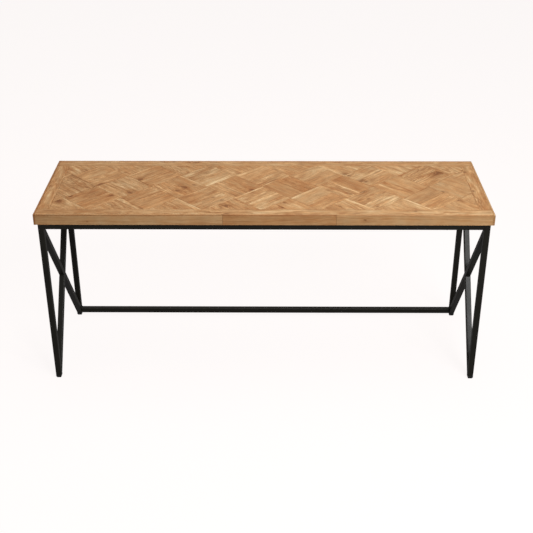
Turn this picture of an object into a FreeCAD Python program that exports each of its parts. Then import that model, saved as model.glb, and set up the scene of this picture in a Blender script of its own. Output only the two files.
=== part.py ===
import FreeCAD, Part
import math
import os

from FreeCAD import Vector

# Entryway bench: a wooden top on a welded square-tube frame.
# Millimetres.  X runs along the bench, Y from the front (-) to the rear (+), Z up.
# The origin is on the floor, under the middle of the top.

# ---------------------------------------------------------------- the top
LENGTH = 1050.0
DEPTH = 320.0
HEIGHT = 450.0
TOP_THICKNESS = 25.0
BORDER_WIDTH = 31.5        # boards and lipping round the parquet
LIPPING = 4.0              # thickness of the strips that close the panel's edges
EASED_EDGE = 1.0           # chamfer on the lipping's outer edges
PARQUET_THICKNESS = 8.0    # parquet and border boards, glued on the core panel
BLOCK = 94.0               # side of one square parquet block
STRIPS_PER_BLOCK = 2
PATTERN_SHIFT = -5.0       # the pattern's nearest corner to the middle, along X
GLUE_LINE = 0.3            # gap between neighbouring pieces of wood
FRONT_JOINTS = (-94.0, 165.0)   # end joints along the front lipping
REAR_JOINTS = (90.0,)           # end joint along the rear lipping

# -------------------------------------------------------------- the frame
TUBE = 13.5                # square steel tube, with its coating
WALL = 1.2
TUBE_CORNER = 1.5          # outer corner radius
END_INSET = 7.5            # top's end to the frame
SIDE_INSET = 3.5           # top's front or rear edge to the frame

# ------------------------------------------------------------- the glides
GLIDE_HEIGHT = 8.0         # below the leg tube
GLIDE_TAPER_HEIGHT = 4.0
GLIDE_SOLE = 10.4          # side of the square that meets the floor
STEM_HEIGHT = 14.0
STEM_SIDE = 9.4
RIB_SIDE = 11.0
RIB_THICKNESS = 1.2
RIB_PITCH = 4.0

# ------------------------------------------------------------- the screws
SCREW_REACH = 420.0        # outer screws from the middle, along X
SCREW_RADIUS = 2.0
SCREW_LENGTH = 28.0        # from under the head to the tip
SCREW_TIP = 4.0
HEAD_RADIUS = 4.0
HEAD_HEIGHT = 1.5
HEAD_ROUNDING = 0.9
RECESS_LENGTH = 4.4
RECESS_WIDTH = 0.9
RECESS_DEPTH = 1.0
TUBE_HOLE_RADIUS = 2.5
PILOT_RADIUS = 2.1
PILOT_DEPTH = 15.5

# ---------------------------------------------------------- worked-out sizes
TOP_UNDERSIDE = HEIGHT - TOP_THICKNESS
RAIL_UNDERSIDE = TOP_UNDERSIDE - TUBE
HALF_LENGTH = LENGTH / 2
HALF_DEPTH = DEPTH / 2
FIELD_X = HALF_LENGTH - BORDER_WIDTH      # half size of the parquet field
FIELD_Y = HALF_DEPTH - BORDER_WIDTH
BOARD_X = HALF_LENGTH - LIPPING - GLUE_LINE   # outer edges of the core and border boards
BOARD_Y = HALF_DEPTH - LIPPING - GLUE_LINE
FACING_UNDERSIDE = HEIGHT - PARQUET_THICKNESS
LEG_X = HALF_LENGTH - END_INSET - TUBE / 2    # leg centre lines
LEG_Y = HALF_DEPTH - SIDE_INSET - TUBE / 2
CLEAR_X = LEG_X - TUBE / 2                # inner faces of the legs
CLEAR_Y = LEG_Y - TUBE / 2
HALF_DIAGONAL = BLOCK / math.sqrt(2)      # half of a block's diagonal

ENDS = {"left": -1, "right": 1}
SIDES = {"front": -1, "rear": 1}


def save(name, solids):
    """Write one node: a single solid, or a group of separate ones."""
    shape = solids[0] if len(solids) == 1 else Part.makeCompound(solids)
    shape.exportStep(f"parts/{name}.step")


def box(low, high):
    """Box between two corners, each given as (x, y, z)."""
    size = [b - a for a, b in zip(low, high)]
    return Part.makeBox(*size, Vector(*low))


def tube(start, end):
    """Hollow square tube whose centre line runs from start to end."""
    run = end - start
    length = run.Length
    along = run / length
    across = Vector(0, 1, 0) if abs(along.x) > 0.5 else Vector(1, 0, 0)
    outer = Part.makeBox(length, TUBE, TUBE, Vector(0, -TUBE / 2, -TUBE / 2))
    long_edges = [e for e in outer.Edges if abs(e.tangentAt(e.FirstParameter).x) > 0.99]
    outer = outer.makeFillet(TUBE_CORNER, long_edges)
    hollow = TUBE - 2 * WALL
    bore = Part.makeBox(length, hollow, hollow, Vector(0, -hollow / 2, -hollow / 2))
    turn = FreeCAD.Rotation(along, across, along.cross(across), "XYZ")
    shape = outer.cut(bore)
    shape.Placement = FreeCAD.Placement(start, turn)
    return shape


def drill(shape, spots, radius, low, high):
    """Cut a vertical hole from low to high at each (x, y) spot."""
    for x, y in spots:
        hole = Part.makeCylinder(radius, high - low, Vector(x, y, low))
        shape = shape.cut(hole)
    return shape


# ------------------------------------------------------------------ screws
def long_rail_spots(side):
    """Screw places under the front or rear rail."""
    return [(x, SIDES[side] * LEG_Y) for x in (-SCREW_REACH, 0.0, SCREW_REACH)]


def end_rail_spots(end):
    """Screw place under the left or right rail."""
    return [(ENDS[end] * LEG_X, 0.0)]


def all_spots():
    """Every screw place."""
    spots = [spot for side in SIDES for spot in long_rail_spots(side)]
    return spots + [spot for end in ENDS for spot in end_rail_spots(end)]


def top_screw(x, y):
    """Wafer-head wood screw driven up through a rail into the core panel."""
    head = Part.makeCylinder(HEAD_RADIUS, HEAD_HEIGHT, Vector(x, y, RAIL_UNDERSIDE - HEAD_HEIGHT))
    rim = min(head.Edges, key=lambda e: e.BoundBox.ZMax)
    head = head.makeFillet(HEAD_ROUNDING, [rim])
    for half_x, half_y in ((RECESS_LENGTH / 2, RECESS_WIDTH / 2), (RECESS_WIDTH / 2, RECESS_LENGTH / 2)):
        base = RAIL_UNDERSIDE - HEAD_HEIGHT
        slot = box((x - half_x, y - half_y, base - 1), (x + half_x, y + half_y, base + RECESS_DEPTH))
        head = head.cut(slot)
    shank_length = SCREW_LENGTH - SCREW_TIP
    shank = Part.makeCylinder(SCREW_RADIUS, shank_length, Vector(x, y, RAIL_UNDERSIDE))
    tip = Part.makeCone(SCREW_RADIUS, 0.3, SCREW_TIP, Vector(x, y, RAIL_UNDERSIDE + shank_length))
    return head.fuse(shank).fuse(tip).removeSplitter()


# ------------------------------------------------------------------- frame
def leg(end, side):
    """Upright tube, from its glide up to the underside of the top."""
    x = ENDS[end] * LEG_X
    y = SIDES[side] * LEG_Y
    return tube(Vector(x, y, GLIDE_HEIGHT), Vector(x, y, TOP_UNDERSIDE))


def long_rail(side):
    """Front or rear rail between two legs, drilled for the top's screws."""
    y = SIDES[side] * LEG_Y
    z = TOP_UNDERSIDE - TUBE / 2
    rail = tube(Vector(-CLEAR_X, y, z), Vector(CLEAR_X, y, z))
    return drill(rail, long_rail_spots(side), TUBE_HOLE_RADIUS, RAIL_UNDERSIDE - 1, TOP_UNDERSIDE + 1)


def end_rail(end):
    """Left or right rail between the front and rear legs."""
    x = ENDS[end] * LEG_X
    z = TOP_UNDERSIDE - TUBE / 2
    rail = tube(Vector(x, -CLEAR_Y, z), Vector(x, CLEAR_Y, z))
    return drill(rail, end_rail_spots(end), TUBE_HOLE_RADIUS, RAIL_UNDERSIDE - 1, TOP_UNDERSIDE + 1)


def stretcher():
    """Low tube between the rear legs, level with the ends of their tubes."""
    z = GLIDE_HEIGHT + TUBE / 2
    return tube(Vector(-CLEAR_X, LEG_Y, z), Vector(CLEAR_X, LEG_Y, z))


# The braces cross in the rectangle between the legs, the end rail and the
# level of the leg tubes' lower ends.  A brace's upper face meets the corner
# under the rail and its lower face the corner at the foot, which fixes its angle.
OPENING_WIDTH = 2 * CLEAR_Y
OPENING_HEIGHT = RAIL_UNDERSIDE - GLIDE_HEIGHT
BRACE_ANGLE = (
    math.acos(TUBE / math.hypot(OPENING_WIDTH, OPENING_HEIGHT))
    - math.atan2(OPENING_WIDTH, OPENING_HEIGHT)
)
BRACE_MIDDLE = GLIDE_HEIGHT + OPENING_HEIGHT / 2
BRACE_REACH = 300.0        # past the opening, before the ends are cut upright


def brace_line(x, rises_to_front):
    """Start and end of a brace's centre line, through the crossing."""
    run = Vector(0, math.cos(BRACE_ANGLE), math.sin(BRACE_ANGLE))
    if rises_to_front:
        run.y = -run.y
    middle = Vector(x, 0, BRACE_MIDDLE)
    return middle - run * BRACE_REACH, middle + run * BRACE_REACH


def between_legs(shape):
    """Cut a brace's ends upright, against the legs."""
    opening = box((-LENGTH, -CLEAR_Y, 0), (LENGTH, CLEAR_Y, HEIGHT))
    return shape.common(opening)


def long_brace(end):
    """Whole brace from the front leg's top to the rear leg's foot."""
    return between_legs(tube(*brace_line(ENDS[end] * LEG_X, True)))


def short_braces(end):
    """The other diagonal, in two pieces that butt against the long brace."""
    x = ENDS[end] * LEG_X
    start, finish = brace_line(x, True)
    run = finish - start
    room = Part.makeBox(run.Length, TUBE, TUBE, Vector(0, -TUBE / 2, -TUBE / 2))
    along = run / run.Length
    across = Vector(1, 0, 0)
    turn = FreeCAD.Rotation(along, across, along.cross(across), "XYZ")
    room.Placement = FreeCAD.Placement(start, turn)
    pieces = between_legs(tube(*brace_line(x, False)).cut(room)).Solids
    return sorted(pieces, key=lambda piece: piece.CenterOfMass.z)


# ------------------------------------------------------------------ glides
def square_wire(side, x, y, z):
    """Closed square outline centred on (x, y) at height z."""
    h = side / 2
    turns = ((-h, -h), (h, -h), (h, h), (-h, h), (-h, -h))
    return Part.makePolygon([Vector(x + dx, y + dy, z) for dx, dy in turns])


def square_block(side, x, y, low, high):
    """Upright square prism."""
    h = side / 2
    return box((x - h, y - h, low), (x + h, y + h, high))


def glide(end, side):
    """Plastic foot: tapered head under the tube and a ribbed stem inside it."""
    x = ENDS[end] * LEG_X
    y = SIDES[side] * LEG_Y
    taper = Part.makeLoft(
        [square_wire(GLIDE_SOLE, x, y, 0), square_wire(TUBE, x, y, GLIDE_TAPER_HEIGHT)], True, True)
    collar = square_block(TUBE, x, y, GLIDE_TAPER_HEIGHT, GLIDE_HEIGHT)
    stem = square_block(STEM_SIDE, x, y, GLIDE_HEIGHT, GLIDE_HEIGHT + STEM_HEIGHT)
    foot = taper.fuse(collar).fuse(stem)
    for count in (1, 2, 3):
        low = GLIDE_HEIGHT + count * RIB_PITCH - RIB_THICKNESS
        foot = foot.fuse(square_block(RIB_SIDE, x, y, low, low + RIB_THICKNESS))
    return foot.removeSplitter()


# --------------------------------------------------------------------- top
def core_panel():
    """Plywood panel under the parquet and the border boards, drilled for the screws."""
    panel = box((-BOARD_X, -BOARD_Y, TOP_UNDERSIDE), (BOARD_X, BOARD_Y, FACING_UNDERSIDE))
    return drill(panel, all_spots(), PILOT_RADIUS, TOP_UNDERSIDE - 1, TOP_UNDERSIDE + PILOT_DEPTH)


def long_border(side):
    """Border board along the front or rear of the parquet."""
    y1, y2 = sorted((SIDES[side] * FIELD_Y, SIDES[side] * BOARD_Y))
    return box((-BOARD_X, y1, FACING_UNDERSIDE), (BOARD_X, y2, HEIGHT))


def end_border(end):
    """Border board across one end, between the front and rear boards."""
    x1, x2 = sorted((ENDS[end] * FIELD_X, ENDS[end] * BOARD_X))
    y = FIELD_Y - GLUE_LINE
    return box((x1, -y, FACING_UNDERSIDE), (x2, y, HEIGHT))


def eased(strip, *outward_faces):
    """Chamfer a strip's level edges on its outer faces, each given by its normal."""
    edges = []
    for outward in outward_faces:
        far = max(v.Point.dot(outward) for v in strip.Vertexes)
        along = Vector(0, 0, 1).cross(outward)
        for edge in strip.Edges:
            on_face = all(abs(v.Point.dot(outward) - far) < 1e-6 for v in edge.Vertexes)
            if on_face and abs(edge.tangentAt(edge.FirstParameter).dot(along)) > 0.99:
                edges.append(edge)
    return strip.makeChamfer(EASED_EDGE, edges)


def long_lipping(side, joints):
    """Strips closing the front or rear edge, end to end between the end strips."""
    sign = SIDES[side]
    stops = [-BOARD_X, *joints, BOARD_X]
    y1, y2 = sorted((sign * (HALF_DEPTH - LIPPING), sign * HALF_DEPTH))
    strips = []
    for start, stop in zip(stops, stops[1:]):
        x1 = start + (GLUE_LINE / 2 if start in joints else 0)
        x2 = stop - (GLUE_LINE / 2 if stop in joints else 0)
        strips.append(eased(box((x1, y1, TOP_UNDERSIDE), (x2, y2, HEIGHT)), Vector(0, sign, 0)))
    return strips


def end_lipping(end):
    """Strip closing the left or right edge, over the ends of the long strips."""
    sign = ENDS[end]
    x1, x2 = sorted((sign * (HALF_LENGTH - LIPPING), sign * HALF_LENGTH))
    strip = box((x1, -HALF_DEPTH, TOP_UNDERSIDE), (x2, HALF_DEPTH, HEIGHT))
    return eased(strip, Vector(sign, 0, 0), Vector(0, -1, 0), Vector(0, 1, 0))


# The parquet is a basket weave turned 45 degrees: square blocks of two strips,
# the grain turning a right angle from each block to the next.
PARQUET_FIELD = box(
    (-FIELD_X + GLUE_LINE, -FIELD_Y + GLUE_LINE, FACING_UNDERSIDE),
    (FIELD_X - GLUE_LINE, FIELD_Y - GLUE_LINE, HEIGHT),
)


def parquet_block(x, y, grain_angle):
    """Strips of the block centred on (x, y), trimmed to the field."""
    strip_width = BLOCK / STRIPS_PER_BLOCK
    strips = []
    for count in range(STRIPS_PER_BLOCK):
        offset = (count + 0.5) * strip_width - BLOCK / 2
        half_run = (BLOCK - GLUE_LINE) / 2
        half_width = (strip_width - GLUE_LINE) / 2
        low = (-half_run, offset - half_width, FACING_UNDERSIDE)
        strip = box(low, (half_run, offset + half_width, HEIGHT))
        strip.rotate(Vector(), Vector(0, 0, 1), grain_angle)
        strip.translate(Vector(x, y, 0))
        strips.extend(strip.common(PARQUET_FIELD).Solids)
    return strips


def parquet_row(level):
    """Blocks of one row; level counts rows from the middle one, rearwards."""
    y = level * HALF_DIAGONAL
    grain_angle = 45 if level % 2 else -45
    first = PATTERN_SHIFT + (0 if level % 2 else HALF_DIAGONAL)
    reach = math.ceil(HALF_LENGTH / (2 * HALF_DIAGONAL))
    blocks = []
    for count in range(-reach - 1, reach + 2):
        strips = parquet_block(first + count * 2 * HALF_DIAGONAL, y, grain_angle)
        if strips:
            blocks.append(strips)
    return blocks


# ---------------------------------------------------------------- assembly
os.makedirs("parts", exist_ok=True)

for end in ENDS:
    for side in SIDES:
        save(f"{side}_{end}_leg", [leg(end, side)])
        save(f"{side}_{end}_glide", [glide(end, side)])
    save(f"{end}_top_rail", [end_rail(end)])
    save(f"{end}_long_brace", [long_brace(end)])
    lower, upper = short_braces(end)
    save(f"{end}_lower_brace", [lower])
    save(f"{end}_upper_brace", [upper])
    save(f"{end}_border", [end_border(end)])
    save(f"{end}_lipping", [end_lipping(end)])

for side in SIDES:
    save(f"{side}_top_rail", [long_rail(side)])
    save(f"{side}_border", [long_border(side)])
save("rear_stretcher", [stretcher()])

for name, strip in zip(("left", "middle", "right"), long_lipping("front", FRONT_JOINTS)):
    save(f"front_lipping_{name}", [strip])
for name, strip in zip(("left", "right"), long_lipping("rear", REAR_JOINTS)):
    save(f"rear_lipping_{name}", [strip])

save("core_panel", [core_panel()])
for name, level in (("front", -1), ("middle", 0), ("rear", 1)):
    for number, strips in enumerate(parquet_row(level), start=1):
        save(f"parquet_{name}_{number}", strips)
for side, sign in SIDES.items():
    save(f"parquet_{side}_edge", [strip for strips in parquet_row(2 * sign) for strip in strips])

save("top_screws", [top_screw(x, y) for x, y in all_spots()])
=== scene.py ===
import math

import bpy
import numpy as np
from mathutils import Matrix, Vector


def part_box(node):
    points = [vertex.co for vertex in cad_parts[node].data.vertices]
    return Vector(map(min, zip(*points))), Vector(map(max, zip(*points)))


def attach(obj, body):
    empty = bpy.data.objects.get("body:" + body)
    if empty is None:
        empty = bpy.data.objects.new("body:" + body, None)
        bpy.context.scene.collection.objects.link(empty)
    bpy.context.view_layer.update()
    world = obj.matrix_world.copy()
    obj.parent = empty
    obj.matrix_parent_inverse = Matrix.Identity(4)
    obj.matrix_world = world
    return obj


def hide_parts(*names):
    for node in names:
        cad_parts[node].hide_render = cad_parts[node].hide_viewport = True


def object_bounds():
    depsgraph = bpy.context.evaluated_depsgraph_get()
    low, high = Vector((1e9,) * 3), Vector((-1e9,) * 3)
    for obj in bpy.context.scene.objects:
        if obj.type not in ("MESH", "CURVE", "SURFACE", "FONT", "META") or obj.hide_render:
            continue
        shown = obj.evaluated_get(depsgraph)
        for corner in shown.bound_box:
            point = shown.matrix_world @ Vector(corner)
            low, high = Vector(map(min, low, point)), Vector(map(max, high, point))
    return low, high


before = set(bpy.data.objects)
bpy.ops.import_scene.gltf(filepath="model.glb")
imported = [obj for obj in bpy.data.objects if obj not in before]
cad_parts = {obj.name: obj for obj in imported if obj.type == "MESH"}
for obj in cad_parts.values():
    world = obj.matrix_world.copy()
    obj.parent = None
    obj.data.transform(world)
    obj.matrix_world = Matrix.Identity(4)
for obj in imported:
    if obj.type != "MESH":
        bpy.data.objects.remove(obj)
cad_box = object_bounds()

# Entryway bench: a basket-weave oak top on a black square-tube frame.
# Metres.  X runs along the bench, Y from the front (-) to the rear (+), Z up.
# Patterns in the wood are worked out in millimetres.

MM = 0.001

# ------------------------------------------------------- sizes from the frame
HALF_LENGTH = cad_box[1].x
HALF_DEPTH = cad_box[1].y
HEIGHT = cad_box[1].z
TOP_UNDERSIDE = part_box("core_panel")[0].z
PARQUET_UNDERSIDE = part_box("parquet_middle_4")[0].z
FIELD_X = -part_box("left_border")[1].x
FIELD_Y = -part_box("front_border")[1].y
LEG_LOW, LEG_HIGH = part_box("rear_right_leg")
TUBE = LEG_HIGH.x - LEG_LOW.x
LEG_X = (LEG_LOW.x + LEG_HIGH.x) / 2
LEG_Y = (LEG_LOW.y + LEG_HIGH.y) / 2
CLEAR_X = LEG_LOW.x
CLEAR_Y = LEG_LOW.y
LEG_FOOT = LEG_LOW.z
RAIL_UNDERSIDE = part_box("front_top_rail")[0].z

# ---------------------------------------------------- the maker's own measures
BLOCK = 94.0 * MM             # side of a square parquet block of two strips
PATTERN_SHIFT = -5.0 * MM     # the pattern's nearest corner to the middle, along X
GLUE_LINE = 0.3 * MM
WALL = 1.2 * MM               # of the steel tube
TUBE_CORNER = 1.5 * MM
HALF_DIAGONAL = BLOCK / math.sqrt(2)

ENDS = {"left": -1, "right": 1}
SIDES = {"front": -1, "rear": 1}


# ============================================================ shader helpers
class Signal:
    """A socket in a finish's node tree.  Arithmetic on number sockets adds Math nodes."""

    def __init__(self, finish, socket):
        self.finish = finish
        self.socket = socket

    def maths(self, operation, *values):
        return self.finish.node("ShaderNodeMath", {"operation": operation}, dict(enumerate(values)))

    def __add__(self, other):
        return self.maths("ADD", self, other)

    def __sub__(self, other):
        return self.maths("SUBTRACT", self, other)

    def __rsub__(self, other):
        return self.maths("SUBTRACT", other, self)

    def __mul__(self, other):
        return self.maths("MULTIPLY", self, other)

    def __truediv__(self, other):
        return self.maths("DIVIDE", self, other)

    def __pow__(self, power):
        return self.maths("POWER", self, power)

    __radd__ = __add__
    __rmul__ = __mul__

    def exp(self):
        return self.maths("EXPONENT", self)

    def sin(self):
        return self.maths("SINE", self)

    def fraction(self):
        return self.maths("FRACT", self)

    def whole(self):
        return self.maths("FLOOR", self)

    def step(self, low, high):
        """0 below low, 1 above high, with a smooth S between."""
        settings = {"interpolation_type": "SMOOTHSTEP"}
        return self.finish.node("ShaderNodeMapRange", settings, {0: self, 1: low, 2: high})


class Finish:
    """A material's node tree round one Principled shader."""

    def __init__(self, name, **shader_values):
        self.material = bpy.data.materials.new(name)
        self.material.use_nodes = True
        self.tree = self.material.node_tree
        self.shader = self.tree.nodes["Principled BSDF"]
        for socket, value in shader_values.items():
            self.shader.inputs[socket.replace("_", " ")].default_value = value

    def node(self, kind, settings=None, sockets=None, output=0):
        """Adds a node: first its settings, then the values or links of its sockets."""
        node = self.tree.nodes.new(kind)
        for name, value in (settings or {}).items():
            setattr(node, name, value)
        for name, value in (sockets or {}).items():
            self.feed(node.inputs[name], value)
        return Signal(self, node.outputs[output])

    def feed(self, socket, value):
        if isinstance(value, Signal):
            self.tree.links.new(value.socket, socket)
        else:
            socket.default_value = value

    def attribute(self, name, output="Vector"):
        return self.node("ShaderNodeAttribute", {"attribute_name": name}, output=output)

    def parts(self, vector):
        """The three numbers of a vector."""
        split = self.node("ShaderNodeSeparateXYZ", None, {0: vector})
        node = split.socket.node
        return [Signal(self, node.outputs[count]) for count in range(3)]

    def vector(self, x, y, z):
        return self.node("ShaderNodeCombineXYZ", None, {0: x, 1: y, 2: z})

    def colour(self, red, green, blue):
        return self.node("ShaderNodeCombineColor", None, {0: red, 1: green, 2: blue})

    def noise(self, vector, scale=1.0, detail=2.0, roughness=0.5):
        sockets = {"Vector": vector, "Scale": scale, "Detail": detail, "Roughness": roughness}
        return self.node("ShaderNodeTexNoise", {"noise_dimensions": "3D"}, sockets, "Fac")

    def cells(self, vector, scale=1.0):
        """Distance to the nearest of a scatter of points."""
        return self.node("ShaderNodeTexVoronoi", None, {"Vector": vector, "Scale": scale}, "Distance")

    def bump(self, height_mm):
        """Relief given in millimetres."""
        sockets = {"Strength": 1.0, "Distance": MM, "Height": height_mm}
        self.feed(self.shader.inputs["Normal"], self.node("ShaderNodeBump", None, sockets))

    def paint(self, colour, roughness):
        self.feed(self.shader.inputs["Base Color"], colour)
        self.feed(self.shader.inputs["Roughness"], roughness)


# ==================================================================== finishes
def oak(name, ring_width, arris_darkness):
    """Oiled oak, solid through the piece.

    Yearly rings are shells round a pith line: their number is the distance from
    the pith over the ring width.  Fibres and pores are noise drawn out along the
    grain.  The grain bends round each knot as water flows round a post, and the
    wood round a piece's first knot is darker, round its second a little paler.
    All broad darkening adds up to one density, and light is absorbed as
    exp(-density), more in the blue than in the red; fine darkening is nearly
    neutral.
    """
    finish = Finish(name, IOR=1.46, Specular_IOR_Level=0.32)
    along, across, depth = finish.parts(finish.attribute("grain"))
    tone, redness, figure = finish.parts(finish.attribute("tone"))
    sapwood = finish.attribute("sapwood", "Fac")
    arris = finish.attribute("arris", "Fac")
    end_grain = finish.attribute("end_grain", "Fac")
    sizes = finish.parts(finish.attribute("knot_sizes"))

    plain = finish.vector(along, across, depth)
    knot = 0.0
    halo = 0.0
    for number, size, shade in zip((1, 2), sizes, (0.050, -0.020)):
        offset = finish.attribute(f"knot_{number}")
        dx, dy, dz = finish.parts(offset)
        near = dx * dx * 0.4 + dy * dy + dz * dz
        area = size * size
        pull = area * 1.1 / (near + area * 0.35 + 0.01)
        across = across - dy * pull
        depth = depth - dz * pull
        ragged = finish.noise(offset, 0.35, 3.0, 0.6) - 0.5
        rim = near ** 0.5 / (size + 0.01) + ragged * 1.6
        rings = (rim * size * 4.0).sin() * 0.15
        knot = knot + (1.0 - rim.step(0.25, 1.3)) * (1.0 + rings)
        halo = halo + (1.0 - rim.step(0.8, 3.4)) * size * shade

    wander = finish.noise(finish.vector(along * 0.011, across * 0.05, depth * 0.05), 1.0, 2.0) - 0.5
    distance = (across * across + depth * depth) ** 0.5 + wander * 13.0
    uneven = finish.noise(finish.vector(0.0, distance * 0.07, 3.1), 1.0, 1.0) - 0.5
    year = distance / ring_width + uneven * 5.0
    phase = year.fraction()
    strength = finish.noise(finish.vector(year.whole() * 0.71, along * 0.004, 7.7), 1.0, 0.0)
    late = phase.step(0.25, 0.9) * (1.0 - phase.step(0.92, 1.0)) * (0.35 + strength * 1.3)

    def drawn_out(along_scale, across_scale, detail, roughness=0.5):
        """Noise stretched along the grain, between -0.5 and 0.5."""
        place = finish.vector(along * along_scale, across * across_scale, depth * across_scale)
        return finish.noise(place, 1.0, detail, roughness) - 0.5

    streak = drawn_out(0.014, 0.17, 3.0, 0.62)
    broad = drawn_out(0.014, 0.04, 1.0)
    dash = drawn_out(0.034, 0.40, 2.0)
    hue = drawn_out(0.022, 0.07, 2.0)
    fibre = drawn_out(0.075, 1.5, 3.0, 0.6)
    blotch = finish.noise(plain, 0.06, 2.0) - 0.5
    pore_cells = finish.cells(finish.vector(along * 0.11, across * 1.25, depth * 1.25))
    pore = (1.0 - pore_cells.step(0.1, 0.34)) * (1.0 - phase.step(0.3, 0.6))
    pale = dash.step(0.07, 0.22)

    sap_edge = sapwood + fibre * 5.0 + streak * 9.0 + dash * 4.0
    sap = sap_edge.step(-1.5, 1.8) * (0.7 + dash * 2.0)
    figured = (late - 0.3) * 0.42 + streak * 1.35 + broad * 0.8 + blotch * 0.6
    # The arris attribute times the oak's arris setting darkens the wood along the upper arrises and just
    # below them.
    density = tone + figured * figure + halo + end_grain * 0.34 + arris * arris_darkness - sap * 0.50
    fine = (fibre + dash * 0.95 + pore * 0.36 - pale * 0.40) * figure
    redder = redness * 0.45 + hue * 2.2
    dark = knot * 0.52 + knot * fibre * 1.3
    red = (density * -0.60 - fine * 0.80 - dark * 0.95).exp() * 0.548
    green = (density * -0.94 - fine * 0.82 - dark * 1.22 - redder * 0.16).exp() * 0.296
    blue = (density * -1.25 - fine * 0.84 - dark * 1.40 - redder * 0.32).exp() * 0.126
    finish.paint(finish.colour(red, green, blue), 0.52 + fibre * 0.22 + pore * 0.18 - late * 0.07)
    finish.bump(fibre * 0.10 - pore * 0.14 + late * 0.035 - knot * 0.05 + streak * 0.10)
    return finish.material


def plywood(name):
    """Rotary-cut veneer: broad wavy figure along X, thin fibres and small patches."""
    finish = Finish(name, Specular_IOR_Level=0.25)
    place = finish.node("ShaderNodeTexCoord", output="Object")
    x, y, z = finish.parts(place)
    wander = finish.noise(finish.vector(x * 2.2, y * 9.0, z), 1.0, 3.0)
    wave = ((y * 210.0 + wander * 26.0).sin() + 1.0) * 0.5
    fibre = finish.noise(finish.vector(x * 30.0, y * 900.0, z * 900.0), 1.0, 3.0, 0.6) - 0.5
    blotch = finish.noise(place, 7.0, 2.0) - 0.5
    knot_cells = finish.cells(finish.vector(x * 5.0, y * 8.0, 0.3))
    knot = 1.0 - knot_cells.step(0.03, 0.09)
    density = wave ** 3.0 * 0.22 + fibre * 0.4 + blotch * 0.5 + knot * 0.9
    red = (density * -0.55).exp() * 0.60
    green = (density * -0.90).exp() * 0.43
    blue = (density * -1.30).exp() * 0.26
    finish.paint(finish.colour(red, green, blue), 0.66 + fibre * 0.2)
    finish.bump(fibre * 0.12 - knot * 0.1)
    return finish.material


def powder_coat(name):
    """Black powder coat: fine orange peel, faint mottling, thinner and paler on the corners."""
    finish = Finish(name, IOR=1.5, Specular_IOR_Level=0.33)
    place = finish.node("ShaderNodeTexCoord", output="Object")
    corner = finish.attribute("arris", "Fac")
    peel = finish.noise(place, 1300.0, 2.0) - 0.5
    grit = finish.noise(place, 4200.0, 1.0) - 0.5
    cloud = finish.noise(place, 22.0, 3.0) - 0.5
    scuff = finish.noise(place, 160.0, 4.0, 0.7).step(0.62, 0.74)
    light = 1.0 + cloud * 0.7 + grit * 0.5 + corner * 0.45 + scuff * corner * 1.2
    finish.paint(
        finish.colour(light * 0.0118, light * 0.0105, light * 0.0072),
        0.43 + cloud * 0.16 + grit * 0.12 + scuff * 0.08,
    )
    finish.bump(peel * 0.045 + grit * 0.012)
    return finish.material


def matte_plastic(name):
    """Black moulded plastic: eroded-tool texture, dusty and scuffed towards the floor."""
    finish = Finish(name, IOR=1.5, Specular_IOR_Level=0.4)
    place = finish.node("ShaderNodeTexCoord", output="Object")
    z = finish.parts(place)[2]
    grain = finish.cells(place, 2600.0)
    cloud = finish.noise(place, 300.0, 3.0) - 0.5
    dust = (1.0 - z.step(0.0, 0.004)) * (0.5 + cloud * 1.4)
    light = 1.0 + cloud * 0.5 + dust * 2.0
    finish.paint(finish.colour(light * 0.013, light * 0.0125, light * 0.012), 0.58 + dust * 0.2 + cloud * 0.1)
    finish.bump(grain * 0.03)
    return finish.material


def zinc_plate(name):
    """Bright zinc on the screws: fine turned lines and a faint yellow-blue cast."""
    finish = Finish(name, Metallic=1.0)
    place = finish.node("ShaderNodeTexCoord", output="Object")
    x, y, z = finish.parts(place)
    turned = finish.noise(finish.vector(x * 40.0, y * 40.0, z * 6000.0), 1.0, 2.0) - 0.5
    cloud = finish.noise(place, 700.0, 3.0) - 0.5
    light = 1.0 + cloud * 0.3
    finish.paint(
        finish.colour(light * 0.62, light * 0.60 + cloud * 0.03, light * 0.55 - cloud * 0.08),
        0.33 + cloud * 0.25 + turned * 0.1,
    )
    finish.bump(turned * 0.012 + cloud * 0.01)
    return finish.material


# ================================================================ mesh helpers
def unit(vector):
    vector = np.asarray(vector, float)
    return vector / np.linalg.norm(vector)


def skin(rings, joined=False):
    """Vertices and faces over a stack of equal rings.

    Point (i, j) is point j of ring i; each ring joins the next with four-sided
    faces.  A stack is closed by a point at the middle of its first and its last
    ring, or, when joined, by running from the last ring back to the first.
    """
    count, size = rings.shape[:2]
    row = np.arange(count if joined else count - 1)[:, None]
    column = np.arange(size)[None, :]
    next_row = (row + 1) % count
    next_column = (column + 1) % size
    corners = (row * size + column, row * size + next_column,
               next_row * size + next_column, next_row * size + column)
    faces = np.stack(corners, axis=-1).reshape(-1, 4).tolist()
    points = rings.reshape(-1, 3)
    if not joined:
        points = np.vstack([points, rings[0].mean(0), rings[-1].mean(0)])
        around = np.arange(size)
        after = (around + 1) % size
        last = (count - 1) * size
        pole = np.full(size, count * size)
        faces += np.stack([pole, after, around], axis=-1).tolist()
        faces += np.stack([pole + 1, last + around, last + after], axis=-1).tolist()
    return points, faces


def joined_skins(skins):
    """Several separate skins as the points and faces of one mesh."""
    points, faces, start = [], [], 0
    for some_points, some_faces in skins:
        points.append(some_points)
        faces += [[corner + start for corner in face] for face in some_faces]
        start += len(some_points)
    return np.vstack(points), faces


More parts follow.
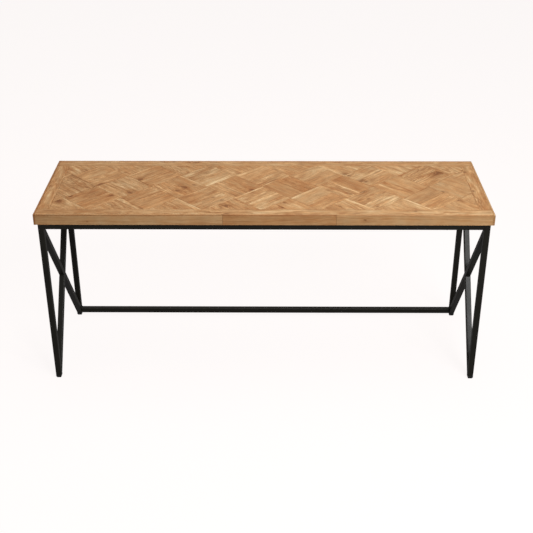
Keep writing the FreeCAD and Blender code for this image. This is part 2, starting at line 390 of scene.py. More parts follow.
def piece(name, skins, finish, replaced=(), attributes=None, sharp=38.0):
    """A finished piece: its mesh, smooth but for edges sharper than the given angle."""
    points, faces = joined_skins(skins)
    mesh = bpy.data.meshes.new(name)
    mesh.from_pydata(points.tolist(), [], faces)
    for key, values in (attributes or {}).items():
        values = np.asarray(values, np.float32)
        kind, field = ("FLOAT", "value") if values.ndim == 1 else ("FLOAT_VECTOR", "vector")
        mesh.attributes.new(key, kind, "POINT").data.foreach_set(field, values.ravel())
    mesh.shade_smooth()
    mesh.set_sharp_from_angle(angle=math.radians(sharp))
    mesh.materials.append(finish)
    thing = bpy.data.objects.new(name, mesh)
    bpy.context.scene.collection.objects.link(thing)
    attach(thing, "root")
    if replaced:
        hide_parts(*replaced)
    return thing


# ==================================================================== the wood
HOLD = 0.5 * MM             # flat stretch kept beside every rounded corner
EDGE_DARK_REACH = 1.0 * MM      # how far the darkening along an arris reaches down the side below it
GLUE_SWELL = 0.13 * MM      # how far a side below its arris stands out into the glue
FAR_OFF = 10.0              # where a knot that isn't there is put
NO_SAPWOOD = -50.0

# The rings of a slab's profile, numbered from the underside's middle.
LOWER_ARRIS_TO_UPPER = slice(2, 14)
STRAIGHT_SIDE = slice(6, 9)
DARKENED_SIDE = 8
UPPER_ARRIS = slice(9, 14)
FACE_EDGE = 14


def side_directions(corners):
    """Unit vectors along the sides of a counter-clockwise outline, and out of them."""
    ahead = np.roll(corners, -1, axis=0) - corners
    lengths = np.linalg.norm(ahead, axis=1)
    ahead = ahead / lengths[:, None]
    outward = np.stack([ahead[:, 1], -ahead[:, 0]], axis=1)
    return ahead, outward, lengths


def rounded_outline(corners, radii, arrises, spacing):
    """Points round a convex outline whose corners are arcs.

    corners run counter-clockwise; radii holds each corner's radius and arrises
    the rounding of the side that starts there.  An arc is centre + radius *
    (cos, sin), from one side's outward direction to the next one's.  Between arcs
    the points are evenly spread.  Returns points, outward directions and the
    arris radius at each, which near a corner shrinks to that corner's radius.
    """
    ahead, outward, lengths = side_directions(corners)
    turns = np.arccos(np.clip((np.roll(ahead, 1, axis=0) * ahead).sum(1), -1, 1))
    shortest = np.minimum(np.roll(lengths, 1), lengths)
    radii = np.minimum(radii, 0.3 * shortest / np.tan(turns / 2))
    setbacks = radii * np.tan(turns / 2)
    at_corner = np.minimum(radii, np.minimum(np.roll(arrises, 1), arrises))
    points, normals, limits = [], [], []
    for k, corner in enumerate(corners):
        after = (k + 1) % len(corners)
        centre = corner + ahead[k] * setbacks[k] - outward[k] * radii[k]
        facing = math.atan2(outward[k - 1][1], outward[k - 1][0])
        angles = facing + turns[k] * np.linspace(0, 1, 4)
        arc = np.stack([np.cos(angles), np.sin(angles)], axis=1)
        points.append(centre + arc * radii[k])
        normals.append(arc)
        limits.append(np.full(len(arc), at_corner[k]))
        free = lengths[k] - setbacks[k] - setbacks[after]
        if free > 4 * HOLD:
            run = np.linspace(HOLD, free - HOLD, max(2, math.ceil(free / spacing)))
            points.append(corner + (setbacks[k] + run)[:, None] * ahead[k])
            normals.append(np.repeat(outward[k][None], len(run), axis=0))
            near_ends = np.minimum(at_corner[k] + 0.45 * run, at_corner[after] + 0.45 * (free - run))
            limits.append(np.minimum(arrises[k], near_ends))
    return np.vstack(points), np.vstack(normals), np.concatenate(limits)


def ripple(places, wavelength, random):
    """Smooth unevenness between about -1 and 1: five sine waves crossing the plan."""
    total = np.zeros(len(places))
    for _ in range(5):
        direction = random.uniform(0, math.tau)
        wave = np.array([math.cos(direction), math.sin(direction)]) * math.tau
        wave = wave / (wavelength * random.uniform(0.6, 1.8))
        total += np.sin(places @ wave + random.uniform(0, math.tau))
    return total / 3


def slab(corners, radii, arrises, low, high, spacing, random, hollow=0.0, swell=0.0):
    """A board or strip, straight-sided in plan, with rounded arrises.

    One parameter runs round the outline.  The other climbs a profile: from the
    underside's middle out to its edge, round the lower arris, up the side, round
    the upper arris as inset = r (1 - cos t), height = r (1 - sin t) below the
    face, and in over the face to its middle, which lies lower by hollow.  Below
    the upper arris the side stands out by swell, into the glue of the joint.
    Returns the skin, a weight that darkens the wood along the upper arris, on
    the face's edge and on the side just below, and which way its side faces.
    """
    outline, normals, arris = rounded_outline(corners, radii, arrises, spacing)
    uneven = ripple(outline, 16 * MM, random) + 0.5 * ripple(outline, 5 * MM, random)
    arris = arris * np.clip(0.8 + 0.35 * uneven, 0.35, 1.0)
    half = arris / 2
    level = 0 * arris
    quarter = np.radians([0.0, 22.5, 45.0, 67.5, 90.0])[:, None]
    lower = quarter[::-1]
    inset = np.vstack([half + HOLD, half * (1 - np.cos(lower)), level, level, level,
                       arris * (1 - np.cos(quarter)), arris + HOLD])
    height = np.vstack([low + level, low + half * (1 - np.sin(lower)), low + half + HOLD,
                        high - arris - HOLD - EDGE_DARK_REACH, high - arris - HOLD,
                        high - arris * (1 - np.sin(quarter)), high + level])
    inset[STRAIGHT_SIDE] -= swell
    plan = outline - normals * inset[..., None]
    shares = np.array([0.06, 0.15, 0.3, 0.5, 0.7, 0.88])
    middle = outline.mean(0)
    over_face = plan[-1] + (middle - plan[-1]) * shares[:, None, None]
    wave = ripple(over_face.reshape(-1, 2), 40 * MM, random).reshape(over_face.shape[:2])
    sink = hollow * np.minimum(1, shares * 5)[:, None] * (0.6 + 0.4 * wave).clip(0, 1)
    rings = np.vstack([np.dstack([plan, height]), np.dstack([over_face, high - sink])])
    # The wood is made darker along the upper arris, on the face's edge and on the side just below the arris;
    # each piece scales this darkening.
    edge_dark_profile = np.zeros(len(rings))
    edge_dark_profile[DARKENED_SIDE] = 0.5
    edge_dark_profile[UPPER_ARRIS] = 0.5 + 0.5 * np.sin(quarter[:, 0] * 2)
    edge_dark_profile[FACE_EDGE] = 0.35
    facing = np.zeros((*rings.shape[:2], 2))
    facing[LOWER_ARRIS_TO_UPPER] = normals
    edge_dark_profile = np.append(np.repeat(edge_dark_profile, len(outline)), [0.0, 0.0])
    facing = np.vstack([facing.reshape(-1, 2), np.zeros((2, 2))])
    return skin(rings), edge_dark_profile, facing


# Knots in the top's face: x, y and radius, in millimetres.
FACE_KNOTS = (
    (-303, 42, 5.5), (-396, 12, 6), (-457, -59, 4), (-480, -83, 6), (-360, -52, 4.5), (-320, -35, 6),
    (-192, -5, 7.5), (-170, 9, 4.5), (-207, -24, 5.5), (-120, -62, 4), (-100, -78, 5), (-88, -109, 6),
    (-30, -18, 6), (48, -92, 3.5), (45, -118, 4), (197, 77, 6), (207, 66, 4.5), (237, 37, 6.5),
    (247, 30, 4.5), (232, -29, 7), (205, -43, 4.5), (175, -112, 4), (262, -111, 4), (432, 86, 10),
    (425, -29, 4), (453, -76, 5), (245, -69, 4), (-175, 149, 6), (347, -137, 3), (497, 89, 4),
    (497, -24, 3.5), (-493, 105, 3.5), (-87, -151, 4),
)
# Knots in the front edge: x, z and radius.
EDGE_KNOTS = ((230, 438, 3.0), (-402, 434, 1.3))

# Pale sapwood along one long edge of a strip: a spot on that edge and its width, in millimetres.
SAPWOOD = (
    (-369, -30, 5), (-455, -84, 5), (-422, -85, 5), (-373, -91, 7), (-366, 90, 5), (-302, 100, 6),
    (-245, -91, 12), (-182, -99, 10), (-182, 40, 6), (-108, 47, 12), (-40, -43, 6), (-25, 98, 10),
    (34, 43, 5), (102, -32, 7), (237, 27, 5), (240, -30, 5), (198, -10, 7), (167, 104, 12),
    (357, -97, 6), (206, -103, 12), (8, -70, 9),
)

# Darkening and redness of each block's two strips, by row and number.
TONES = {
    ("rear", 1): ((0.10, 0.0), (0.10, 0.0)),
    ("rear", 2): ((0.06, 0.5), (-0.02, 0.3)),
    ("rear", 3): ((0.08, 0.3), (0.02, 0.4)),
    ("rear", 4): ((-0.06, -0.3), (0.05, -0.5)),
    ("rear", 5): ((-0.02, -0.2), (-0.12, 0.2)),
    ("rear", 6): ((0.08, 0.3), (-0.10, -0.3)),
    ("rear", 7): ((0.0, -0.3), (-0.10, -0.2)),
    ("rear", 8): ((-0.04, -0.1), (0.10, -0.3)),
    ("rear", 9): ((0.0, 0.0), (0.0, -0.3)),
    ("middle", 1): ((0.18, -0.2), (0.22, -0.1)),
    ("middle", 2): ((0.05, -0.2), (0.03, -0.1)),
    ("middle", 3): ((0.06, 0.4), (0.0, 0.2)),
    ("middle", 4): ((-0.10, 0.2), (0.16, 0.7)),
    ("middle", 5): ((0.13, 0.4), (0.20, 0.6)),
    ("middle", 6): ((-0.04, 0.0), (0.22, 0.5)),
    ("middle", 7): ((0.0, 0.3), (-0.04, 0.0)),
    ("middle", 8): ((0.04, -0.3), (0.0, -0.4)),
    ("front", 1): ((0.08, 0.0), (0.08, 0.0)),
    ("front", 2): ((0.04, 0.5), (0.16, 0.1)),
    ("front", 3): ((0.12, 0.8), (0.10, 0.6)),
    ("front", 4): ((-0.02, 0.0), (0.10, 0.3)),
    ("front", 5): ((-0.18, 0.3), (-0.06, 0.2)),
    ("front", 6): ((0.02, 0.5), (-0.08, -0.2)),
    ("front", 7): ((-0.02, -0.2), (0.04, -0.2)),
    ("front", 8): ((-0.16, 0.4), (0.10, -0.4)),
    ("front", 9): ((0.14, 0.4), (0.06, 0.0)),
    ("front_edge", 5): ((0.10, 0.4), (0.0, 0.5)),
    ("front_edge", 6): ((0.04, 0.3), (-0.18, 0.0)),
    ("front_edge", 7): ((-0.08, 0.2), (-0.10, 0.0)),
    ("rear_edge", 4): ((-0.10, 0.4), (-0.06, 0.3)),
    ("rear_edge", 5): ((0.0, 0.2), (0.14, 0.6)),
    ("rear_edge", 6): ((-0.08, -0.1), (0.06, -0.2)),
}


def inside(corners, place, margin=0.0):
    """Whether a place lies within a convex counter-clockwise outline."""
    outward = side_directions(corners)[1]
    return bool(((place - corners) * outward).sum(1).max() < margin)


def timber(corners, radii, arrises, low, high, spacing, random, grain_angle, tone, pith, hollow,
           figure, swell=0.0, strip=None):
    """One piece of oak: its skin, and the attributes that its finish reads.

    "grain" is the place in millimetres along the grain, across it and above the
    pith, turned, shifted and a little tilted; "knot_1" and "knot_2" are the
    offsets from the first two knots in it.  "sapwood" is how far inside the sapwood's
    border a point lies, "end_grain" how squarely its side faces along the grain.
    """
    shape, edge_dark_profile, facing = slab(corners, radii, arrises, low, high, spacing, random, hollow, swell)
    grain = np.array([math.cos(grain_angle), math.sin(grain_angle)])
    across = np.array([-grain[1], grain[0]])
    middle = corners.mean(0)
    plan = shape[0][:, :2] - middle
    local = np.stack([plan @ grain, plan @ across, shape[0][:, 2] - HEIGHT], axis=1) / MM
    pith_across, pith_depth, tilt = pith
    origin = np.array([random.uniform(0, 4000), pith_across, pith_depth])
    coordinates = local + origin
    coordinates[:, 2] += local[:, 0] * tilt
    knots = [(x * MM, y * MM, HEIGHT, size) for x, y, size in FACE_KNOTS]
    knots += [(x * MM, -HALF_DEPTH, z * MM, size) for x, z, size in EDGE_KNOTS]
    held = [knot for knot in knots if inside(corners, np.array(knot[:2]), 0.1 * MM)]
    held = (held + [(middle[0], middle[1] + FAR_OFF, HEIGHT, 0.0)] * 2)[:2]
    attributes = {"grain": coordinates}
    for number, (x, y, z, _) in enumerate(held, start=1):
        place = np.array([x, y]) - middle
        spot = np.array([place @ grain, place @ across, z - HEIGHT]) / MM
        attributes[f"knot_{number}"] = local - spot
    count = len(local)
    attributes["knot_sizes"] = np.tile([held[0][3], held[1][3], 0.0], (count, 1))
    darkening, redness, tone_and_painted_light_drift = tone
    towards_end = local[:, 0] / np.abs(local[:, 0]).max()
    attributes["tone"] = np.tile([darkening, redness, figure], (count, 1))
    # The darkening drifts from one end of the piece to the other. On most pieces this is the wood's own tone.
    # On the front border and the front lipping it is partly painted light, brighter towards the right where
    # the lamp stands.
    attributes["tone"][:, 0] += tone_and_painted_light_drift * towards_end
    attributes["arris"] = edge_dark_profile
    attributes["end_grain"] = np.abs(facing @ grain)
    attributes["sapwood"] = np.full(count, NO_SAPWOOD)
    if strip is not None:
        strip_middle, half_width = strip
        beside = (shape[0][:, :2] - strip_middle) @ across / MM
        for x, y, width in SAPWOOD:
            spot = np.array([x, y]) * MM
            if inside(corners, spot):
                edge = 1 if (spot - strip_middle) @ across > 0 else -1
                attributes["sapwood"] = width - half_width / MM + edge * beside
    return shape, attributes


def wooden_piece(name, timbers, finish, node):
    """One named piece made of one or more timbers."""
    skins = [shape for shape, _ in timbers]
    keys = timbers[0][1].keys()
    attributes = {key: np.concatenate([values[key] for _, values in timbers]) for key in keys}
    return piece(name, skins, finish, [node], attributes)


# ------------------------------------------------------------------- parquet
STRIP_CORNER = 0.3 * MM
STRIP_ARRIS = 0.26 * MM
STRIP_HOLLOW = 0.12 * MM
STRIP_SPACING = 3.5 * MM      # between the points round a strip


def clipped(corners, limit_x, limit_y):
    """The part of a convex outline within +-limit_x and +-limit_y.

    Each side of the rectangle cuts in turn: corners outside it go, and a new one
    appears where an outline side crosses it.
    """
    for axis, sign, limit in ((0, 1, limit_x), (0, -1, limit_x), (1, 1, limit_y), (1, -1, limit_y)):
        kept = []
        for k, end in enumerate(corners):
            start = corners[k - 1]
            over_start = start[axis] * sign - limit
            over_end = end[axis] * sign - limit
            if over_start * over_end < 0:
                kept.append(start + (end - start) * over_start / (over_start - over_end))
            if over_end <= 0:
                kept.append(end)
        corners = kept
        if not corners:
            break
    return np.array(corners)


def random_pith(random):
    """Where the tree's middle lay: under the face, aslant below it, or far to one side."""
    cut = random.random()
    side = random.choice([-1, 1])
    tilt = random.uniform(-0.06, 0.06)
    if cut < 0.5:
        return side * random.uniform(0, 16), random.uniform(24, 60), tilt
    if cut < 0.8:
        return side * random.uniform(32, 65), random.uniform(24, 50), tilt
    return side * random.uniform(65, 110), random.uniform(4, 20), tilt


def parquet_strips(row, number, centre, grain_angle):
    """The strips of one block, trimmed to the field: square ends, joints of one glue line."""
    random = np.random.default_rng([len(row), sum(map(ord, row)), number])
    grain = np.array([math.cos(grain_angle), math.sin(grain_angle)])
    across = np.array([-grain[1], grain[0]])
    half_run = (BLOCK - GLUE_LINE) / 2
    half_width = (BLOCK / 2 - GLUE_LINE) / 2
    strips = []
    for count, offset in enumerate((-BLOCK / 4, BLOCK / 4)):
        middle = centre + across * offset
        box_corners = np.array([middle + grain * half_run * a + across * half_width * b
                                for a, b in ((-1, -1), (1, -1), (1, 1), (-1, 1))])
        corners = clipped(box_corners, FIELD_X - GLUE_LINE, FIELD_Y - GLUE_LINE)
        darkening, redness = TONES.get((row, number), ((0.0, 0.0), (0.0, 0.0)))[count]
        tone = (darkening + random.uniform(-0.07, 0.07), redness + random.uniform(-0.3, 0.3),
                random.uniform(-0.07, 0.07))
        pith = random_pith(random)
        lower = random.uniform(0.0, 0.15) * MM
        if len(corners) > 2:
            sides = len(corners)
            strips.append(timber(
                corners, np.full(sides, STRIP_CORNER), np.full(sides, STRIP_ARRIS), PARQUET_UNDERSIDE,
                HEIGHT - lower, STRIP_SPACING, random, grain_angle, tone, pith, STRIP_HOLLOW,
                random.uniform(0.75, 1.35), GLUE_SWELL, (middle, half_width)))
    return strips


def parquet_row(row, level):
    """Blocks of one row, numbered from the left; level counts rows from the middle, rearwards."""
    grain_angle = math.radians(45 if level % 2 else -45)
    first = PATTERN_SHIFT + (0 if level % 2 else HALF_DIAGONAL)
    reach = math.ceil(HALF_LENGTH / (2 * HALF_DIAGONAL))
    blocks = []
    for count in range(-reach - 1, reach + 2):
        centre = np.array([first + count * 2 * HALF_DIAGONAL, level * HALF_DIAGONAL])
        strips = parquet_strips(row, len(blocks) + 1, centre, grain_angle)
        if strips:
            blocks.append(strips)
    return blocks


def parquet(finish):
    for row, level in (("front", -1), ("middle", 0), ("rear", 1)):
        for number, strips in enumerate(parquet_row(row, level), start=1):
            node = f"parquet_{row}_{number}"
            wooden_piece(f"{node}_strips", strips, finish, node)
    for side, sign in SIDES.items():
        node = f"parquet_{side}_edge"
        strips = [strip for block in parquet_row(f"{side}_edge", 2 * sign) for strip in block]
        wooden_piece(f"{node}_strips", strips, finish, node)


# ---------------------------------------------------- border boards and lipping
JOINT_ARRIS = 0.22 * MM
BUTT_ARRIS = 0.08 * MM        # where two strips of lipping meet end to end
OUTER_ARRIS = 0.9 * MM
OUTER_CORNER = 1.3 * MM       # the top's four corners, in plan
JOINT_CORNER = 0.25 * MM
EDGE_SPACING = 3.0 * MM
EDGE_HOLLOW = 0.08 * MM

# Darkening, redness and how much darker the right or rear end is than the middle;
# the pith's place across and below, in millimetres, with its tilt; how much darker the arrises are made.
# On the front border and the front lipping, the end-to-end darkening is partly painted light, brighter
# towards the right where the lamp stands.
BORDERS = {
    "front_border": ((0.01, -0.3, -0.12), (9, 44, 0.004), 0.3),
    "rear_border": ((-0.06, 0.0, 0.0), (-14, 40, -0.003), 0.3),
    "left_border": ((0.03, 0.3, 0.0), (-6, 38, 0.045), 0.3),
    "right_border": ((0.07, 0.1, 0.0), (12, 50, -0.040), 0.3),
}
LIPPINGS = {
    "front_lipping_left": ((0.0, -0.5, -0.10), (9, 44, 0.018), 2.4),
    "front_lipping_middle": ((0.07, 0.4, 0.0), (-24, 36, -0.030), 2.0),
    "front_lipping_right": ((-0.10, 0.0, -0.03), (16, 58, 0.022), 1.1),
    "rear_lipping_left": ((0.06, 0.2, 0.0), (-20, 48, 0.015), 1.2),
    "rear_lipping_right": ((0.0, -0.1, 0.05), (18, 40, -0.020), 0.9),
    "left_lipping": ((0.36, 0.3, 0.0), (-12, 52, 0.030), 1.4),
    "right_lipping": ((-0.06, -0.5, 0.0), (20, 46, -0.025), 0.5),
}


def edge_timber(node, seed, tone, pith, edge_dark_scale, figure, arrises, radii, swell):
    """A board or strip with the grain along it, filling its box in the frame."""
    (x1, y1, z1), (x2, y2, z2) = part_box(node)
    corners = np.array([(x1, y1), (x2, y1), (x2, y2), (x1, y2)])
    grain_angle = 0.0 if x2 - x1 > y2 - y1 else math.pi / 2
    random = np.random.default_rng([2024, seed])
    shape, attributes = timber(corners, radii, arrises, z1, z2, EDGE_SPACING, random,
                               grain_angle, tone, pith, EDGE_HOLLOW, figure, swell)
    attributes["arris"] *= edge_dark_scale
    return shape, attributes


def border_boards(finish):
    """Flat boards round the parquet, close against it and the lipping."""
    for seed, (node, (tone, pith, edge_dark_scale)) in enumerate(BORDERS.items(), start=1):
        board = edge_timber(node, seed, tone, pith, edge_dark_scale, 1.0, np.full(4, JOINT_ARRIS),
                            np.full(4, JOINT_CORNER), GLUE_SWELL)
        wooden_piece(f"{node}_board", [board], finish, node)


def lippings(finish):
    """Strips over the panel's edges; only their outside edges are well rounded."""
    for seed, (node, (tone, pith, edge_dark_scale)) in enumerate(LIPPINGS.items(), start=20):
        (x1, y1, _), (x2, y2, _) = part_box(node)
        outside = np.array([y1 < -HALF_DEPTH + MM, x2 > HALF_LENGTH - MM,
                            y2 > HALF_DEPTH - MM, x1 < -HALF_LENGTH + MM])
        butted = np.array([False, True, False, True]) if x2 - x1 > y2 - y1 else np.full(4, False)
        arrises = np.where(outside, OUTER_ARRIS, np.where(butted, BUTT_ARRIS, JOINT_ARRIS))
        radii = np.where(outside & np.roll(outside, 1), OUTER_CORNER, JOINT_CORNER)
        strip = edge_timber(node, seed, tone, pith, edge_dark_scale, 0.5, arrises, radii, 0.0)
        wooden_piece(f"{node}_strip", [strip], finish, node)


# =================================================================== the frame
CUT_EASE = 0.25 * MM       # tube ends are deburred by this much
BORE_CORNER = 0.4 * MM
JUST_INSIDE = 1e-6         # a share of the length so small that its ring stops CUT_EASE from the cut


def square_outline(half, radius, steps=5):
    """Square with rounded corners, counter-clockwise, centred on nought.

    Each corner is an arc, centre + radius * (cos, sin), with a point on the flat
    close to either end of it.  Returns the points, the outward directions and 1
    at the middle of each arc falling to 0 on the flats.
    """
    sweep = np.linspace(0, math.pi / 2, steps)
    hold = min(0.4 * MM, (half - radius) / 2)
    points, normals, round_part = [], [], []
    for quarter in range(4):
        angles = quarter * math.pi / 2 + np.concatenate([[0], sweep, [math.pi / 2]])
        arc = np.stack([np.cos(angles), np.sin(angles)], axis=1)
        turn = quarter * math.pi / 2 + math.pi / 4
        centre = np.sign([math.cos(turn), math.sin(turn)]) * (half - radius)
        corner = centre + arc * radius
        corner[0] -= hold * np.array([-arc[0][1], arc[0][0]])
        corner[-1] += hold * np.array([-arc[-1][1], arc[-1][0]])
        points.append(corner)
        normals.append(arc)
        round_part.append(np.concatenate([[0], np.sin(sweep * 2), [0]]))
    return np.vstack(points), np.vstack(normals), np.concatenate(round_part)


def tube(base, run, side, start_cut, end_cut, stations=9):
    """Hollow square tube along run, between two cutting planes.

    Its outline, in the directions side and run x side, is carried along run.
    A point meets a plane at the distance (plane point - point) . normal /
    (run . normal).  The outer skin turns in over each end to the bore's skin,
    so the two make one closed ring of rings.  Returns the skin and how round
    each point's corner is.
    """
    run, side = unit(run), unit(side)
    up = np.cross(run, side)
    outer, outward, outer_round = square_outline(TUBE / 2, TUBE_CORNER)
    inner, _, _ = square_outline(TUBE / 2 - WALL, BORE_CORNER)

    def carried(outline, share, inset=0.0):
        flat = outline - outward * inset
        origin = base + flat[:, :1] * side + flat[:, 1:] * up
        ends = [((point - origin) @ normal / (run @ normal))[:, None]
                for point, normal in (start_cut, end_cut)]
        length = ends[1] - ends[0]
        near = np.clip(share * length, CUT_EASE, length - CUT_EASE) if 0 < share < 1 else share * length
        return origin + (ends[0] + near) * run

    shares = np.linspace(0, 1, stations)[1:-1]
    outer_rings = [carried(outer, 0.0, CUT_EASE), carried(outer, JUST_INSIDE)]
    outer_rings += [carried(outer, share) for share in shares]
    outer_rings += [carried(outer, 1 - JUST_INSIDE), carried(outer, 1.0, CUT_EASE)]
    inner_rings = [carried(inner, share) for share in (1.0, 0.5, 0.0)]
    roundness = [outer_round] * len(outer_rings) + [outer_round * 0] * len(inner_rings)
    return skin(np.array(outer_rings + inner_rings), joined=True), np.concatenate(roundness)


BRACE_ANGLE = (
    math.acos(TUBE / math.hypot(2 * CLEAR_Y, RAIL_UNDERSIDE - LEG_FOOT))
    - math.atan2(2 * CLEAR_Y, RAIL_UNDERSIDE - LEG_FOOT)
)
BRACE_MIDDLE = (RAIL_UNDERSIDE + LEG_FOOT) / 2
RISING_REARWARD = np.array([0, math.cos(BRACE_ANGLE), math.sin(BRACE_ANGLE)])
RISING_FORWARD = RISING_REARWARD * [1, -1, 1]
X_AXIS, Y_AXIS, Z_AXIS = np.eye(3)


def frame_tubes(finish):
    """Every tube of the frame, cut as the welder fits it."""
    def add(node, *shape):
        made, roundness = tube(*shape)
        piece(f"{node}_tube", [made], finish, [node], {"arris": roundness})

    def cut(axis, place):
        return axis * place, axis

    for end, x_sign in ENDS.items():
        x = x_sign * LEG_X * X_AXIS
        for side, y_sign in SIDES.items():
            foot = x + y_sign * LEG_Y * Y_AXIS
            add(f"{side}_{end}_leg", foot, Z_AXIS, X_AXIS, cut(Z_AXIS, LEG_FOOT), cut(Z_AXIS, TOP_UNDERSIDE))
        rail = x + (RAIL_UNDERSIDE + TUBE / 2) * Z_AXIS
        front, rear = cut(Y_AXIS, -CLEAR_Y), cut(Y_AXIS, CLEAR_Y)
        add(f"{end}_top_rail", rail, Y_AXIS, X_AXIS, front, rear)
        crossing = x + BRACE_MIDDLE * Z_AXIS
        face = np.cross(X_AXIS, RISING_FORWARD)
        face = face * np.sign(face[1])
        add(f"{end}_long_brace", crossing, RISING_FORWARD, X_AXIS, rear, front)
        near_face = (crossing - face * TUBE / 2, face)
        far_face = (crossing + face * TUBE / 2, face)
        add(f"{end}_lower_brace", crossing, RISING_REARWARD, X_AXIS, front, near_face)
        add(f"{end}_upper_brace", crossing, RISING_REARWARD, X_AXIS, far_face, rear)
    left, right = cut(X_AXIS, -CLEAR_X), cut(X_AXIS, CLEAR_X)
    for side, y_sign in SIDES.items():
        rail = y_sign * LEG_Y * Y_AXIS + (RAIL_UNDERSIDE + TUBE / 2) * Z_AXIS
        add(f"{side}_top_rail", rail, X_AXIS, Y_AXIS, left, right)
    low_line = LEG_Y * Y_AXIS + (LEG_FOOT + TUBE / 2) * Z_AXIS
    add("rear_stretcher", low_line, X_AXIS, Y_AXIS, left, right)


# -------------------------------------------------------------------- welds
WELD_LEG = 2.4 * MM
WELD_LENGTH = TUBE - 1.6 * MM
WELD_SHARPNESS = 60.0      # in degrees: the beads' ripples stay smooth


def weld(corner, along, first, second, random):
    """Fillet of weld in the corner between two tubes, as long as a tube is wide.

    Across, its face is a quadratic curve from one tube to the other, (1-t)^2 A +
    2 t (1-t) B + t^2 C, with the corner behind it.  Along, it ripples as a sine
    of the distance and tapers at both ends.
    """
    along, first, second = unit(along), unit(first), unit(second)
    if np.cross(first, second) @ along < 0:
        first, second = second, first
    t = np.linspace(0, 1, 7)[:, None]
    bulge = (first + second) * 0.36
    face = (1 - t) ** 2 * first + 2 * t * (1 - t) * bulge + t ** 2 * second
    outline = np.vstack([face, -0.12 * (first + second)])
    s = np.linspace(-1, 1, 25)
    taper = (1 - np.abs(s) ** 5) ** 0.5 * 0.9 + 0.1
    beads = 1 + 0.10 * np.sin(s * 17 + random.uniform(0, 6)) + 0.06 * np.sin(s * 7.3 + random.uniform(0, 6))
    size = WELD_LEG * random.uniform(0.85, 1.1) * taper * beads
    rings = corner + s[:, None, None] * along * WELD_LENGTH / 2 + outline[None] * size[:, None, None]
    return skin(rings)


def welds(finish):
    """The fillets that the maker leaves in the frame's inside corners."""
    random = np.random.default_rng(31)
    brace_height = TUBE / math.cos(BRACE_ANGLE)
    half_turn = math.pi / 2 - BRACE_ANGLE
    for end, x_sign in ENDS.items():
        x = x_sign * LEG_X * X_AXIS
        fillets = []
        for y_sign in SIDES.values():
            inward = -y_sign * Y_AXIS
            wall = x + y_sign * CLEAR_Y * Y_AXIS
            down = inward * math.cos(BRACE_ANGLE) - Z_AXIS * math.sin(BRACE_ANGLE)
            rising = inward * math.cos(BRACE_ANGLE) + Z_AXIS * math.sin(BRACE_ANGLE)
            under_rail = wall + RAIL_UNDERSIDE * Z_AXIS
            fillets.append(weld(under_rail, X_AXIS, inward, down, random))
            fillets.append(weld(under_rail - brace_height * Z_AXIS, X_AXIS, -Z_AXIS, down, random))
            fillets.append(weld(wall + (LEG_FOOT + brace_height) * Z_AXIS, X_AXIS, Z_AXIS, rising, random))
        crossing = x + BRACE_MIDDLE * Z_AXIS
        to_top = TUBE / 2 / math.sin(half_turn)
        to_side = TUBE / 2 / math.cos(half_turn)
        for sign in (-1, 1):
            arms = RISING_REARWARD * sign, RISING_FORWARD * sign
            fillets.append(weld(crossing + sign * to_top * Z_AXIS, X_AXIS, *arms, random))
            arms = RISING_REARWARD * sign, -RISING_FORWARD * sign
            fillets.append(weld(crossing + sign * to_side * Y_AXIS, X_AXIS, *arms, random))
        piece(f"{end}_end_welds", fillets, finish, sharp=WELD_SHARPNESS)
    fillets = []
    for x_sign in ENDS.values():
        wall = x_sign * CLEAR_X * X_AXIS
        for y_sign in SIDES.values():
            corner = wall + y_sign * LEG_Y * Y_AXIS + RAIL_UNDERSIDE * Z_AXIS
            fillets.append(weld(corner, Y_AXIS, -x_sign * X_AXIS, -Z_AXIS, random))
        corner = wall + LEG_Y * Y_AXIS + (LEG_FOOT + TUBE) * Z_AXIS
        fillets.append(weld(corner, Y_AXIS, -x_sign * X_AXIS, Z_AXIS, random))
    piece("long_rail_welds", fillets, finish, sharp=WELD_SHARPNESS)


# ------------------------------------------------------------------- glides
GLIDE_SOLE = 10.4 * MM
GLIDE_TAPER_HEIGHT = 4.0 * MM
STEM_HEIGHT = 14.0 * MM
STEM_SIDE = 9.4 * MM
RIB_SIDE = 11.0 * MM
RIB_THICKNESS = 1.2 * MM
RIB_PITCH = 4.0 * MM
GLIDE_CORNER = 1.2 * MM


def glides(finish):
    """Plastic feet: rounded squares stacked from the sole up to the ribbed stem's top."""
    soft = 0.35 * MM
    levels = [(0.0, GLIDE_SOLE - 2 * soft), (soft / 2, GLIDE_SOLE - soft / 2), (2 * soft, GLIDE_SOLE + soft),
              (GLIDE_TAPER_HEIGHT - soft, TUBE - soft), (GLIDE_TAPER_HEIGHT + soft, TUBE),
              (LEG_FOOT - soft, TUBE), (LEG_FOOT, TUBE - soft), (LEG_FOOT, STEM_SIDE)]
    for count in (1, 2, 3):
        rib_top = LEG_FOOT + count * RIB_PITCH
        levels += [(rib_top - RIB_THICKNESS, STEM_SIDE), (rib_top - RIB_THICKNESS, RIB_SIDE),
                   (rib_top, RIB_SIDE - soft), (rib_top, STEM_SIDE)]
    levels.append((LEG_FOOT + STEM_HEIGHT, STEM_SIDE))
    for end, x_sign in ENDS.items():
        for side, y_sign in SIDES.items():
            rings = []
            for z, width in levels:
                outline = square_outline(width / 2, GLIDE_CORNER)[0] + [x_sign * LEG_X, y_sign * LEG_Y]
                rings.append(np.column_stack([outline, np.full(len(outline), z)]))
            node = f"{side}_{end}_glide"
            piece(f"{node}_foot", [skin(np.array(rings))], finish, [node])


# ============================================================ floor and light
WARM_WHITE = (1.0, 0.965, 0.956, 1.0)
FLOOR_REACH = 60.0


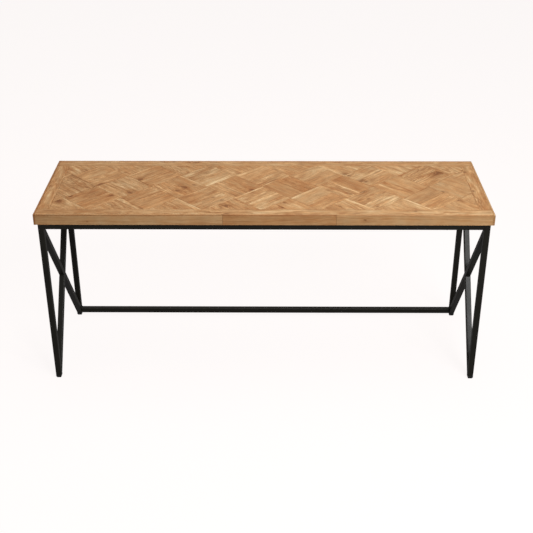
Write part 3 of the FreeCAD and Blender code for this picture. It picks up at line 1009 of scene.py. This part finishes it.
def floor():
    """Pale studio floor: nearly all its own light, a little of the lamps', clear from below."""
    finish = Finish("studio_floor")
    tree = finish.tree
    own = finish.node("ShaderNodeEmission", None, {"Color": WARM_WHITE})
    seen = finish.node("ShaderNodeLightPath", None, None, "Is Camera Ray")
    finish.feed(own.socket.node.inputs["Strength"], seen * 0.81 + 0.12)
    matt = finish.node("ShaderNodeBsdfDiffuse", None, {"Color": (0.115, 0.11, 0.108, 1.0)})
    both = finish.node("ShaderNodeAddShader", None, {0: own, 1: matt})
    clear = finish.node("ShaderNodeBsdfTransparent")
    below = finish.node("ShaderNodeNewGeometry", None, None, "Backfacing")
    shown = finish.node("ShaderNodeMixShader", None, {0: below, 1: both, 2: clear})
    tree.links.new(shown.socket, tree.nodes["Material Output"].inputs["Surface"])
    mesh = bpy.data.meshes.new("studio_floor")
    corners = [(x * FLOOR_REACH, y * FLOOR_REACH, 0) for x, y in ((-1, -1), (1, -1), (1, 1), (-1, 1))]
    mesh.from_pydata(corners, [], [(0, 1, 2, 3)])
    mesh.materials.append(finish.material)
    ground = bpy.data.objects.new("studio_floor", mesh)
    bpy.context.scene.collection.objects.link(ground)


def sky():
    """White all round to the eye, and a dimmer even light on the bench."""
    world = bpy.data.worlds.new("studio")
    bpy.context.scene.world = world
    world.use_nodes = True
    tree = world.node_tree
    background = tree.nodes["Background"]
    path = tree.nodes.new("ShaderNodeLightPath")
    strength = tree.nodes.new("ShaderNodeMapRange")
    strength.inputs["To Min"].default_value = 0.25
    strength.inputs["To Max"].default_value = 1.0
    tree.links.new(path.outputs["Is Camera Ray"], strength.inputs["Value"])
    tree.links.new(strength.outputs[0], background.inputs["Strength"])
    background.inputs["Color"].default_value = WARM_WHITE


def lamp(name, place, aim, size, power, colour):
    """Soft square lamp at place, turned to aim."""
    light = bpy.data.lights.new(name, "AREA")
    light.shape = "RECTANGLE"
    light.size, light.size_y = size
    light.energy = power
    light.color = colour
    holder = bpy.data.objects.new(name, light)
    direction = Vector(aim) - Vector(place)
    holder.matrix_world = Matrix.Translation(place) @ direction.to_track_quat("-Z", "Y").to_matrix().to_4x4()
    holder.visible_camera = False
    bpy.context.scene.collection.objects.link(holder)


def camera():
    """Standing in front of the bench, looking down on its top."""
    lens = bpy.data.cameras.new("camera")
    lens.lens = 66.93
    lens.sensor_width = 36.0
    holder = bpy.data.objects.new("camera", lens)
    down, aside, roll = 0.4984, -0.0079, -0.0017
    turn = (Matrix.Rotation(-aside, 4, "Z") @ Matrix.Rotation(math.pi / 2 - down, 4, "X")
            @ Matrix.Rotation(roll, 4, "Z"))
    holder.matrix_world = Matrix.Translation((0.0220, -2.1864, 1.4209)) @ turn
    bpy.context.scene.collection.objects.link(holder)
    bpy.context.scene.camera = holder


# ===================================================================== making
camera()
floor()
sky()
lamp("overhead", (0.2, 0.1, 2.6), (0.0, 0.0, 0.45), (2.4, 1.6), 22.0, (1.0, 0.985, 0.97))
lamp("front_right", (1.15, -1.9, 2.05), (0.1, 0.0, 0.35), (1.3, 1.0), 50.0, (0.97, 0.985, 1.0))
bpy.context.scene.view_settings.view_transform = "Standard"

parquet(oak("parquet_oak_finish", 2.7, 0.10))
border_oak = oak("border_oak_finish", 3.1, 0.45)
border_boards(border_oak)
lippings(border_oak)
coat = powder_coat("black_powder_coat")
frame_tubes(coat)
welds(coat)
glides(matte_plastic("black_glide_plastic"))
for node, finish in (("core_panel", plywood("core_veneer")), ("top_screws", zinc_plate("zinc_plated_steel"))):
    for material_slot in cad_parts[node].material_slots:
        material_slot.material = finish
